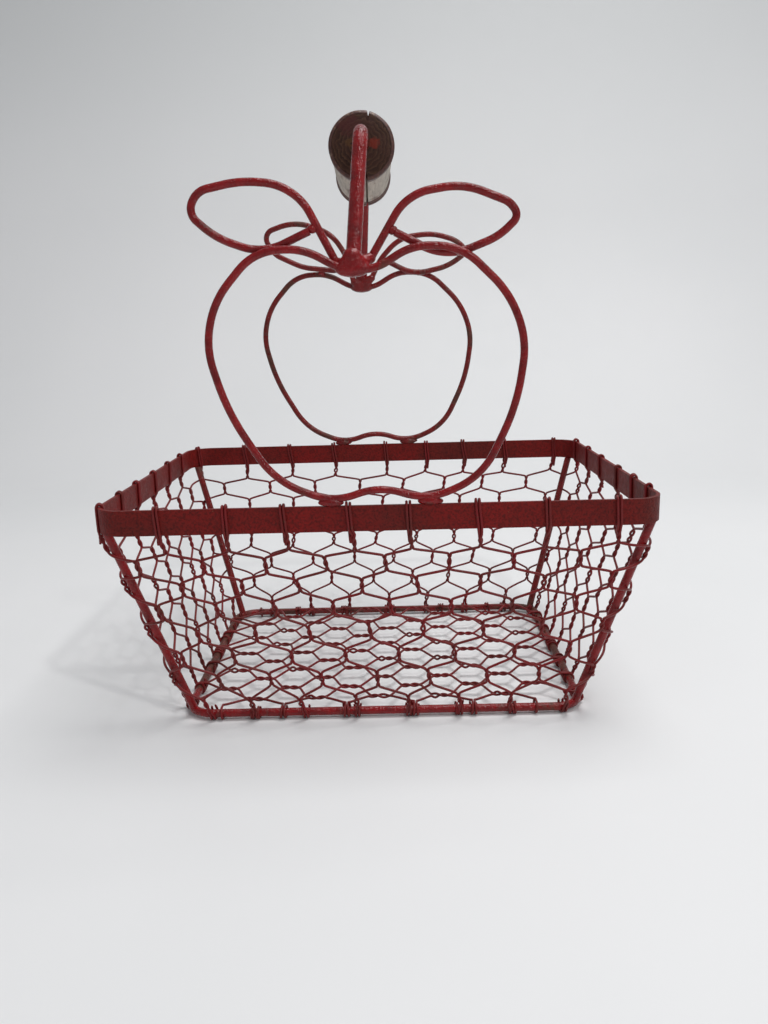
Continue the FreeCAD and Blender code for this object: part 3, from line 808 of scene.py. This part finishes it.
def stained_rim():
    """The turned beads at the grip's ends, stained dark."""
    paint = Paint("grip_stained_beads")
    grain = paint.noise(900, 4, 0.65, paint.stretched((1.0, 0.12, 1.0)))
    colour = paint.ramp(grain, (0.3, (0.030, 0.010, 0.008)), (0.55, (0.085, 0.026, 0.018)),
                        (0.75, (0.150, 0.070, 0.042)))
    worn = paint.grey(paint.noise(260, 4, 0.6), (0.58, 0.0), (0.68, 1.0))
    colour = paint.mix(worn, colour, (0.20, 0.125, 0.085))
    paint.bump(grain, 0.5, 0.0003)
    return paint.finish(colour, paint.grey(grain, (0.3, 0.36), (0.7, 0.6)))


def worn_cream():
    """The middle of the grip: thin cream paint over long wood grain, rubbed and grubby."""
    paint = Paint("grip_worn_cream")
    grain = paint.noise(700, 5, 0.65, paint.stretched((1.0, 0.06, 1.0)))
    cream = paint.ramp(grain, (0.30, (0.20, 0.155, 0.115)), (0.52, (0.42, 0.365, 0.30)),
                       (0.8, (0.52, 0.47, 0.40)))
    wear = paint.noise(120, 5, 0.65, paint.stretched((1.0, 0.35, 1.0)))
    rubbed = paint.grey(wear, (0.55, 0.0), (0.66, 1.0))
    bare = paint.ramp(grain, (0.3, (0.075, 0.035, 0.020)), (0.7, (0.22, 0.120, 0.070)))
    colour = paint.mix(rubbed, cream, bare)
    grime = paint.grey(paint.noise(35, 4, 0.6), (0.5, 0.0), (0.8, 0.55))
    colour = paint.mix(grime, colour, (0.115, 0.095, 0.078))
    paint.bump(grain, 0.5, 0.0003)
    return paint.finish(colour, paint.grey(grain, (0.3, 0.48), (0.7, 0.7)))


# ---- Stage, light and camera --------------------------------------------------------------
def paper_sweep():
    """A pale floor that curves up behind into a backdrop, painted greyer towards the top as painted shade.
    """
    mesh = bpy.data.meshes.new("paper_sweep")
    form = bmesh.new()
    front, bend, wide, high, radius = -1.6, 0.50, 2.4, 1.6, 0.35
    outline = [(front, 0.0), (bend, 0.0)]
    outline += [(bend + radius * math.sin(a), radius - radius * math.cos(a))
                for a in (math.pi / 2 * i / 16 for i in range(1, 17))]
    outline.append((bend + radius, high))
    rows = [[form.verts.new((x, y, z)) for x in (-wide, wide)] for y, z in outline]
    for low, up in zip(rows, rows[1:]):
        form.faces.new((low[0], low[1], up[1], up[0]))
    form.to_mesh(mesh)
    form.free()
    mesh.shade_smooth()
    paint = Paint("paper")
    colour = paint.ramp(paint.noise(3, 3), (0.3, (0.76, 0.765, 0.765)), (0.7, (0.79, 0.79, 0.79)))
    split = paint.add("ShaderNodeSeparateXYZ")
    paint.link(paint.place, split.inputs[0])
    height = paint.add("ShaderNodeMapRange", interpolation_type="SMOOTHSTEP")
    height.inputs["From Min"].default_value, height.inputs["From Max"].default_value = PAPER_SHADE_HEIGHTS
    paint.link(split.outputs["Z"], height.inputs["Value"])
    # Painted shade: the paper is mixed towards grey with height.
    colour = paint.mix(height.outputs["Result"], colour, (0.54, 0.55, 0.55))
    mesh.materials.append(paint.finish(colour, paint.grey(paint.noise(40, 2), (0.3, 0.6), (0.7, 0.7))))
    sweep = bpy.data.objects.new("paper_sweep", mesh)
    bpy.context.scene.collection.objects.link(sweep)


def area_light(name, place, size, power):
    light = bpy.data.lights.new(name, "AREA")
    light.shape = "RECTANGLE"
    light.size, light.size_y = size
    light.energy = power
    lamp = bpy.data.objects.new(name, light)
    bpy.context.scene.collection.objects.link(lamp)
    lamp.location = place
    lamp.rotation_euler = (LAMP_TARGET - Vector(place)).to_track_quat("-Z", "Y").to_euler()


def studio():
    area_light("overhead", (0.34, 0.05, 1.45), (0.75, 0.75), 13.5)
    area_light("left_front", (-1.1, -1.0, 0.9), (0.5, 0.5), 0.9)
    area_light("right_front", (1.2, -0.8, 0.8), (0.4, 0.4), 1.6)
    area_light("high_front", (0.50, -0.85, 1.05), (0.06, 0.06), 3.0)
    world = bpy.data.worlds.new("studio_air")
    world.use_nodes = True
    air = world.node_tree.nodes["Background"]
    air.inputs["Color"].default_value = (0.93, 0.95, 1.0, 1)
    air.inputs["Strength"].default_value = 0.32
    bpy.context.scene.world = world


def camera():
    """In front, a little above the rim, looking slightly down."""
    yaw, pitch, roll = (math.radians(angle) for angle in CAMERA_ANGLES)
    ahead = Vector((math.sin(yaw) * math.cos(pitch), math.cos(yaw) * math.cos(pitch), -math.sin(pitch)))
    right = Vector((math.cos(yaw), -math.sin(yaw), 0))
    above = right.cross(ahead)
    across = right * math.cos(roll) + above * math.sin(roll)
    upward = above * math.cos(roll) - right * math.sin(roll)
    lens = bpy.data.cameras.new("camera")
    lens.sensor_width = SENSOR_MM
    lens.lens = LENS_MM
    lens.clip_start = 0.01
    eye = bpy.data.objects.new("camera", lens)
    bpy.context.scene.collection.objects.link(eye)
    turn = Matrix((across, upward, -ahead)).transposed()
    eye.matrix_world = Matrix.Translation(CAMERA_PLACE) @ turn.to_4x4()
    bpy.context.scene.camera = eye
    bpy.context.scene.view_settings.view_transform = "Standard"


# ---- Assembly -----------------------------------------------------------------------------
def dress(node, material):
    mesh = frame["nodes"][node].data
    mesh.materials.clear()
    mesh.materials.append(material)


RED = (0.250, 0.0050, 0.0070)
camera()
studio()
paper_sweep()

bright = rod_paint("rod_paint_bright", RED, 0.32)
aged = rod_paint("rod_paint_aged", (0.200, 0.0095, 0.0090), 0.39)
footing = rod_paint("rod_paint_footing", RED, 0.32, 0.16)
for node in ("front_apple", "front_left_leaf", "front_right_leaf", "handle_rod", "front_left_post",
             "front_right_post"):
    dress(node, bright)
for node in ("back_apple", "back_left_leaf", "back_right_leaf", "back_left_post", "back_right_post"):
    dress(node, aged)
dress("base_ring", footing)
dress("rim_band", band_paint())

net = netting_paint()
for number in range(len(NET_SIDES)):
    wall_netting(number, net)
floor_netting(net)

for end, paint in (("front", bright), ("back", aged)):
    stem_weld(end, paint)
    small_welds(end + "_rim_welds", end + "_rim_beads", (2.1, 1.0, 0.85), paint)
small_welds("leaf_welds", "leaf_beads", (0.84, 0.84, 0.84), bright)

wood = (end_grain(), stained_rim(), worn_cream())
grip_piece("grip_left_half", "grip_left_piece", False, wood)
grip_piece("grip_right_half", "grip_right_piece", True, wood)

bpy.context.view_layer.update()
